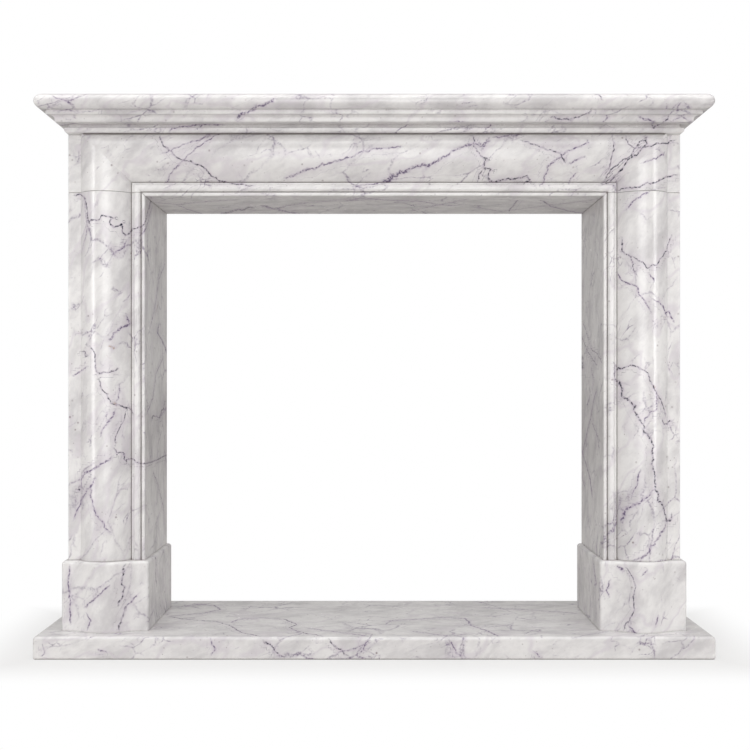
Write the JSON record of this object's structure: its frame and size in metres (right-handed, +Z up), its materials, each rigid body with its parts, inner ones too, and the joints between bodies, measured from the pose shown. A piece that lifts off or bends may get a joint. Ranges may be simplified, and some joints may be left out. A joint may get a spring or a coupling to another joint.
{
  "type": "fireplace mantel",
  "caption": "Fireplace mantel with a bolection frame, bullnosed moulded shelf, bowed plinths and a hearth slab, in polished white marble with violet and dark veins.",
  "frame": {"origin": "middle of the hearth slab's underside, on the floor", "axes": "+X to the viewer's right along the shelf, +Y from the front towards the wall, +Z up"},
  "size_m": [1.372, 0.381, 1.14],
  "materials": {
    "veined_marble": "polished"
  },
  "bodies": {
    "root": {"hearth": "veined_marble", "plinth_left": "veined_marble", "plinth_right": "veined_marble", "jamb_left": "veined_marble", "jamb_right": "veined_marble", "lintel": "veined_marble", "bed_moulding": "veined_marble", "shelf": "veined_marble"}
  },
  "joints": []
}
